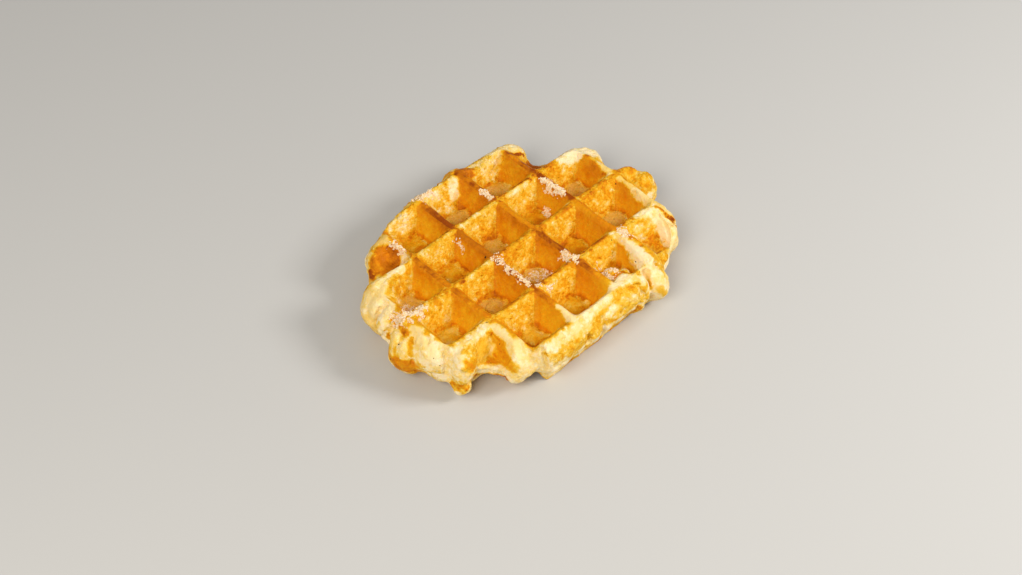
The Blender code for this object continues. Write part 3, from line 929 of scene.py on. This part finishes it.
def math_node(tree, operation, first, second, clamp=False):
    """Add a math node; each input is a socket or a number."""
    made = tree.nodes.new("ShaderNodeMath")
    made.operation = operation
    made.use_clamp = clamp
    for socket, value in zip(made.inputs, (first, second)):
        if isinstance(value, (int, float)):
            socket.default_value = value
        else:
            tree.links.new(value, socket)
    return made.outputs["Value"]


def ramp_node(tree, value, stops):
    """Add a colour ramp from (position, colour) stops."""
    made = tree.nodes.new("ShaderNodeValToRGB")
    elements = made.color_ramp.elements
    while len(elements) < len(stops):
        elements.new(0.5)
    for element, (position, colour) in zip(elements, stops):
        element.position = position
        element.color = (*colour, 1.0)
    tree.links.new(value, made.inputs["Fac"])
    return made.outputs["Color"]


def mix_colours(tree, share, first, second):
    """Mix two colour sockets by a share."""
    made = tree.nodes.new("ShaderNodeMix")
    made.data_type = "RGBA"
    tree.links.new(share, made.inputs["Factor"])
    tree.links.new(first, made.inputs["A"])
    tree.links.new(second, made.inputs["B"])
    return made.outputs["Result"]


def centred(tree, value, gain):
    """Move a noise to swing round zero, with the given gain."""
    return math_node(tree, "MULTIPLY", math_node(tree, "SUBTRACT", value, 0.5), gain)


def rise(tree, value, low, high):
    """Rise smoothly from 0 where a value is low to 1 where it is high."""
    made = tree.nodes.new("ShaderNodeMapRange")
    made.interpolation_type = "SMOOTHSTEP"
    made.inputs["From Min"].default_value = low
    made.inputs["From Max"].default_value = high
    tree.links.new(value, made.inputs["Value"])
    return made.outputs["Result"]


def iron_browning_and_wall_shade(tree, coordinates):
    """Deepen the walls that face along the rows, partly as browner baking and partly as painted shade, and
    brown the ridges' tops, with crisp edges.
    """
    split = tree.nodes.new("ShaderNodeSeparateXYZ")
    tree.links.new(coordinates, split.inputs["Vector"])
    high = rise(tree, split.outputs["Z"], *((THICKNESS - below) * MM for below in RIDGE_TOP))
    top = math_node(tree, "MULTIPLY", rise(tree, attribute_node(tree, "ridge"), *RIDGE_EDGE), high)
    crest = math_node(tree, "MULTIPLY", top, attribute_node(tree, "crest"))
    # Partly painted shade: the walls across the rows get a deeper amber
    cross_wall = rise(tree, attribute_node(tree, "side"), *WALL_EDGE)
    browner = math_node(tree, "MULTIPLY", cross_wall, CROSS_WALL_BROWN_AND_SHADE)
    walls = math_node(tree, "MULTIPLY", browner, attribute_node(tree, "ironed"))
    return math_node(tree, "ADD", walls, crest)


def pit_node(tree, coordinates):
    """Add scattered pits and return their depth, from 0 to 1."""
    pits = tree.nodes.new("ShaderNodeTexVoronoi")
    pits.inputs["Scale"].default_value = 1.0 / (PIT_SPACING * MM)
    tree.links.new(coordinates, pits.inputs["Vector"])
    inside = math_node(tree, "SUBTRACT", PIT_RADIUS, pits.outputs["Distance"])
    return math_node(tree, "MULTIPLY", inside, PIT_STEEPNESS, clamp=True)


def crust_colour(tree, coordinates, fine, flecks, pits):
    """Colour the crust by how brown it baked and by its painted shade, with its pale floors and its torn
    crumb.
    """
    middle = noise_node(tree, coordinates, MIDDLE_SIZE, detail=4.0)
    broad = noise_node(tree, coordinates, BROAD_SIZE, detail=2.0)
    clouds = math_node(tree, "MINIMUM", centred(tree, middle, CLOUD_SWING), CLOUD_LIMIT)
    spots = math_node(tree, "MULTIPLY", pits, PIT_BROWN)
    spotted = math_node(tree, "ADD", math_node(tree, "ADD", flecks, clouds), spots)
    uneven = math_node(tree, "MULTIPLY", spotted, attribute_node(tree, "flecked"))
    drifting = math_node(tree, "ADD", uneven, centred(tree, broad, DRIFT_SWING))
    browned = math_node(tree, "ADD", attribute_node(tree, "baked"), iron_browning_and_wall_shade(tree, coordinates))
    crust = ramp_node(tree, math_node(tree, "ADD", browned, drifting, clamp=True), CRUST_COLOURS)
    floor = ramp_node(tree, middle, FLOOR_COLOURS)
    floor_share = math_node(tree, "MULTIPLY", attribute_node(tree, "floor"), FLOOR_SHARE)
    crumbly = noise_node(tree, coordinates, TORN_PATTERN_SIZE, detail=4.0, roughness=0.7)
    crumb = ramp_node(tree, crumbly, CRUMB_COLOURS)
    torn = math_node(tree, "ADD", attribute_node(tree, "torn"), centred(tree, fine, TORN_SWING))
    past_start = math_node(tree, "SUBTRACT", torn, TORN_START)
    torn_open = math_node(tree, "MULTIPLY", past_start, TORN_SHARPNESS, clamp=True)
    return mix_colours(tree, torn_open, mix_colours(tree, floor_share, crust, floor), crumb)


def crust_roughness(tree, flecks):
    """Make the crust a little glossier where the iron pressed it."""
    shine = math_node(tree, "MULTIPLY", attribute_node(tree, "pressed"), -PRESSED_SHINE)
    even = math_node(tree, "ADD", shine, CRUST_ROUGHNESS)
    return math_node(tree, "ADD", even, math_node(tree, "MULTIPLY", flecks, FLECK_ROUGHNESS))


def crust_grain(tree, coordinates, fine, pits):
    """Give the crust its fine grain and pits, fainter where its colour is even."""
    grain = noise_node(tree, coordinates, GRAIN_SIZE, detail=3.0)
    bumps = math_node(tree, "ADD", grain, centred(tree, fine, FINE_BUMP))
    bump = tree.nodes.new("ShaderNodeBump")
    grainy = math_node(tree, "MULTIPLY", attribute_node(tree, "flecked"), 1.0 - LEAST_GRAIN)
    tree.links.new(math_node(tree, "ADD", grainy, LEAST_GRAIN), bump.inputs["Strength"])
    bump.inputs["Distance"].default_value = GRAIN_DEPTH * MM
    height = math_node(tree, "SUBTRACT", bumps, math_node(tree, "MULTIPLY", pits, PIT_BUMP))
    tree.links.new(height, bump.inputs["Height"])
    return bump.outputs["Normal"]


def crust_material():
    """Make the baked crust: cream where it puffed freely, golden to brown where the iron pressed it."""
    material, tree, shader = new_material("baked_crust")
    coordinates = tree.nodes.new("ShaderNodeTexCoord").outputs["Object"]
    fine = noise_node(tree, coordinates, FINE_SIZE, detail=3.0, roughness=0.6)
    flecks = math_node(tree, "MINIMUM", centred(tree, fine, FLECK_SWING), FLECK_LIMIT)
    pits = pit_node(tree, coordinates)
    tree.links.new(crust_colour(tree, coordinates, fine, flecks, pits), shader.inputs["Base Color"])
    tree.links.new(crust_roughness(tree, flecks), shader.inputs["Roughness"])
    tree.links.new(crust_grain(tree, coordinates, fine, pits), shader.inputs["Normal"])
    shader.inputs["Specular IOR Level"].default_value = CRUST_SPECULAR
    shader.inputs["Subsurface Weight"].default_value = CRUST_SUBSURFACE
    shader.inputs["Subsurface Radius"].default_value = SUBSURFACE_SHARES
    shader.inputs["Subsurface Scale"].default_value = SUBSURFACE_DEPTH * MM
    return material


def plain_material(name, colour, roughness):
    """Make a material whose colour varies gently round one value."""
    material, tree, shader = new_material(name)
    coordinates = tree.nodes.new("ShaderNodeTexCoord").outputs["Object"]
    shade = noise_node(tree, coordinates, PLAIN_PATTERN_SIZE, detail=3.0)
    darker = tuple(part * share for part, share in zip(colour, DARKER))
    tree.links.new(ramp_node(tree, shade, [(0.3, darker), (0.7, colour)]), shader.inputs["Base Color"])
    shader.inputs["Roughness"].default_value = roughness
    shader.inputs["Specular IOR Level"].default_value = PLAIN_SPECULAR
    return material


def surface_of(target):
    """Return a search tree of an object's faces."""
    bm = bmesh.new()
    bm.from_mesh(target.data)
    tree = BVHTree.FromBMesh(bm)
    bm.free()
    return tree


def build_burnt_specks(skin):
    """Set the burnt specks half into the skin."""
    draw = np.random.default_rng(seed=5)
    surface = surface_of(skin)
    bm = bmesh.new()
    for column, row, level, radius in BURNT_SPECKS:
        found, normal, *_ = surface.find_nearest(place(column, row, level))
        half_widths = radius * MM * draw.uniform(*SPECK_WIDTHS, 2)
        turn = normal.to_track_quat("Z", "Y").to_matrix().to_4x4()
        add_bit(bm, found, turn, (*half_widths, radius * MM * SPECK_FLATNESS))
    specks = new_object("burnt_specks", bm, plain_material("burnt_sugar", BURNT_COLOUR, BURNT_ROUGHNESS))
    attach(specks, "root")


def scatter_inputs(tree):
    """Give a Geometry Nodes tree the crumbs' sizes as its inputs, and return their sockets inside it."""
    interface = tree.interface
    interface.new_socket("Geometry", in_out="INPUT", socket_type="NodeSocketGeometry")
    for name, kind, value in (
        ("Crumbs on a square metre", "NodeSocketFloat", CRUMBS_ON_A_SQUARE_METRE),
        ("Smallest radius", "NodeSocketFloat", SMALLEST_CRUMB * MM),
        ("Largest radius", "NodeSocketFloat", LARGEST_CRUMB * MM),
        ("Seed", "NodeSocketInt", 3),
    ):
        socket = interface.new_socket(name, in_out="INPUT", socket_type=kind)
        socket.default_value = value
    interface.new_socket("Geometry", in_out="OUTPUT", socket_type="NodeSocketGeometry")
    return tree.nodes.new("NodeGroupInput").outputs


def scattered_crumbs(tree, given):
    """Scatter small round crumbs over the skin, densest where it is most torn."""
    nodes, links = tree.nodes, tree.links
    torn = nodes.new("GeometryNodeInputNamedAttribute")
    torn.data_type = "FLOAT"
    torn.inputs["Name"].default_value = "torn"
    dense = math_node(tree, "MULTIPLY", torn.outputs["Attribute"], given["Crumbs on a square metre"])
    points = nodes.new("GeometryNodeDistributePointsOnFaces")
    links.new(given["Geometry"], points.inputs["Mesh"])
    links.new(dense, points.inputs["Density"])
    links.new(given["Seed"], points.inputs["Seed"])
    crumb = nodes.new("GeometryNodeMeshIcoSphere")
    crumb.inputs["Radius"].default_value = 1.0
    crumb.inputs["Subdivisions"].default_value = 1
    size = nodes.new("FunctionNodeRandomValue")
    size.data_type = "FLOAT"
    links.new(given["Smallest radius"], size.inputs["Min"])
    links.new(given["Largest radius"], size.inputs["Max"])
    links.new(given["Seed"], size.inputs["Seed"])
    turn = nodes.new("FunctionNodeRandomValue")
    turn.data_type = "FLOAT_VECTOR"
    turn.inputs["Max"].default_value = (math.tau, math.tau, math.tau)
    set_on = nodes.new("GeometryNodeInstanceOnPoints")
    links.new(points.outputs["Points"], set_on.inputs["Points"])
    links.new(crumb.outputs["Mesh"], set_on.inputs["Instance"])
    links.new(turn.outputs["Value"], set_on.inputs["Rotation"])
    links.new(size.outputs["Value"], set_on.inputs["Scale"])
    real = nodes.new("GeometryNodeRealizeInstances")
    links.new(set_on.outputs["Instances"], real.inputs["Geometry"])
    return real.outputs["Geometry"]


def crumpled(tree, geometry):
    """Crumple the round crumbs with a fine noise."""
    nodes, links = tree.nodes, tree.links
    uneven = nodes.new("ShaderNodeTexNoise")
    uneven.inputs["Scale"].default_value = 1.0 / (CRUMPLE_SIZE * MM)
    from_middle = nodes.new("ShaderNodeVectorMath")
    from_middle.operation = "SUBTRACT"
    from_middle.inputs[1].default_value = (0.5, 0.5, 0.5)
    links.new(uneven.outputs["Color"], from_middle.inputs[0])
    shift = nodes.new("ShaderNodeVectorMath")
    shift.operation = "SCALE"
    shift.inputs["Scale"].default_value = CRUMPLE_WIDTH * MM
    links.new(from_middle.outputs["Vector"], shift.inputs[0])
    crumple = nodes.new("GeometryNodeSetPosition")
    links.new(geometry, crumple.inputs["Geometry"])
    links.new(shift.outputs["Vector"], crumple.inputs["Offset"])
    return crumple.outputs["Geometry"]


def scatter_tree(material):
    """Make a Geometry Nodes tree that scatters small uneven crumbs by a stored number."""
    tree = bpy.data.node_groups.new("scattered crumbs", "GeometryNodeTree")
    crumbs = crumpled(tree, scattered_crumbs(tree, scatter_inputs(tree)))
    dress = tree.nodes.new("GeometryNodeSetMaterial")
    dress.inputs["Material"].default_value = material
    tree.links.new(crumbs, dress.inputs["Geometry"])
    out = tree.nodes.new("NodeGroupOutput")
    tree.links.new(dress.outputs["Geometry"], out.inputs["Geometry"])
    return tree


def build_pale_crumbs(skin):
    """Scatter crumbs over the torn places, as plain mesh."""
    crumbs = copy_of(skin, "pale_crumbs")
    modifier = crumbs.modifiers.new("scatter", "NODES")
    crumb = plain_material("pale_crumb", LOOSE_CRUMB_COLOUR, LOOSE_CRUMB_ROUGHNESS)
    modifier.node_group = scatter_tree(crumb)
    apply_modifiers(crumbs)
    crumbs.data.shade_smooth()
    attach(crumbs, "root")


def build_floor():
    """Lay a wide pale floor."""
    bm = bmesh.new()
    bmesh.ops.create_grid(bm, x_segments=1, y_segments=1, size=FLOOR_WIDTH / 2)
    material, _, shader = new_material("pale_floor")
    shader.inputs["Base Color"].default_value = FLOOR_COLOUR
    shader.inputs["Roughness"].default_value = FLOOR_ROUGHNESS
    floor = new_object("floor", bm, material)


def add_soft_light(name, azimuth, elevation, distance, width, power, colour):
    """Add a square light that faces the waffle; azimuth 0 stands north of it and 90 west."""
    light = bpy.data.lights.new(name, "AREA")
    light.size = width
    light.energy = power
    light.color = colour
    made = bpy.data.objects.new(name, light)
    flat = math.cos(math.radians(elevation))
    toward = Vector(
        (
            -math.sin(math.radians(azimuth)) * flat,
            math.cos(math.radians(azimuth)) * flat,
            math.sin(math.radians(elevation)),
        )
    )
    made.location = toward * distance
    made.rotation_euler = toward.to_track_quat("Z", "Y").to_euler()
    bpy.context.scene.collection.objects.link(made)


def build_light():
    """Light the waffle softly: a key from the right of the view, a fill from its left, a pale surround."""
    world = bpy.data.worlds.new("studio")
    world.use_nodes = True
    background = world.node_tree.nodes["Background"]
    background.inputs["Color"].default_value = SURROUND_COLOUR
    background.inputs["Strength"].default_value = SURROUND_STRENGTH
    bpy.context.scene.world = world
    for light in SOFT_LIGHTS:
        add_soft_light(*light)
    bpy.context.scene.view_settings.view_transform = "Standard"


def build_camera():
    """Set the camera where the photographed view has it."""
    camera = bpy.data.cameras.new("camera")
    camera.lens = CAMERA_LENS
    camera.sensor_width = SENSOR_WIDTH
    made = bpy.data.objects.new("camera", camera)
    turn = Matrix.Rotation(math.radians(CAMERA_AZIMUTH), 4, "Z")
    tilt = Matrix.Rotation(math.radians(90.0 - CAMERA_ELEVATION), 4, "X")
    roll = Matrix.Rotation(math.radians(-CAMERA_ROLL), 4, "Z")
    made.matrix_world = Matrix.Translation(CAMERA_PLACE) @ turn @ tilt @ roll
    bpy.context.scene.collection.objects.link(made)
    bpy.context.scene.camera = made


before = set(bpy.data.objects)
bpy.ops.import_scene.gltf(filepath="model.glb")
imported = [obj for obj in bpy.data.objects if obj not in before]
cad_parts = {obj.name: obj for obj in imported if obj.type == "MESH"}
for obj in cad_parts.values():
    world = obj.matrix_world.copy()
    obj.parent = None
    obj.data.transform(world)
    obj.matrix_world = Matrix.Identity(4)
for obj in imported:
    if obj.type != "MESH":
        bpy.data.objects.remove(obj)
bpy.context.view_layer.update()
build_camera()
build_light()
build_floor()
waffle_skin = build_skin(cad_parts["waffle"])
build_burnt_specks(waffle_skin)
build_pale_crumbs(waffle_skin)
